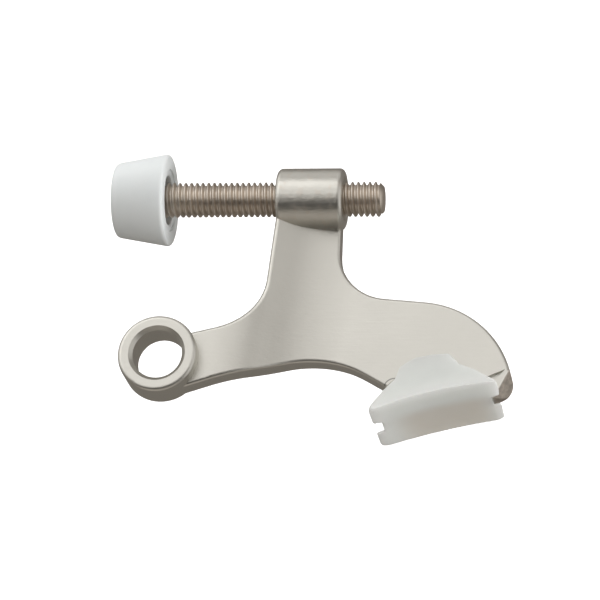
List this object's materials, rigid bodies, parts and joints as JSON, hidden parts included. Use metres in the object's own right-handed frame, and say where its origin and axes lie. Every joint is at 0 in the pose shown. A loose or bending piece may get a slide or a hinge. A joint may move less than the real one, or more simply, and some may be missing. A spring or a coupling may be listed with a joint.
{
  "type": "hinge pin door stop",
  "caption": "Hinge pin door stop: a stepped arm with an eye for the hinge pin, a threaded barrel with a screw-adjusted rubber bumper, and a rubber pad on a sloped foot.",
  "frame": {"origin": "centre of the hinge eye's bore, at the middle of its length", "axes": "+Z along the eye's bore towards the side the eye stands proud on, +X along the adjusting rod from the bumper to its free end, +Y from the eye towards the rod"},
  "size_m": [0.0691, 0.0482, 0.0219],
  "materials": {
    "casting": "satin nickel plate, brushed",
    "rod": "nickel plated thread",
    "bumper_rubber": "matt white",
    "pad_rubber": "milky, translucent"
  },
  "bodies": {
    "arm": {"body_casting": "casting", "foot_pad": "pad_rubber"},
    "bumper": {"bumper": "bumper_rubber"},
    "rod": {"adjusting_rod": "rod"}
  },
  "joints": [
    {"name": "bumper_slide", "type": "slide", "parent": "arm", "child": "bumper", "axis": [1, 0, 0], "range_m": [-0.006, 0.017]},
    {"name": "rod_turn", "type": "hinge", "parent": "bumper", "child": "rod", "pos_m": [0, 0.0303, -0.00346], "axis": [1, 0, 0], "range_deg": [-2160, 6120]}
  ],
  "couplings": [
    {"joint": "rod_turn", "follows": "bumper_slide", "rad_per_m": 6283.2}
  ]
}
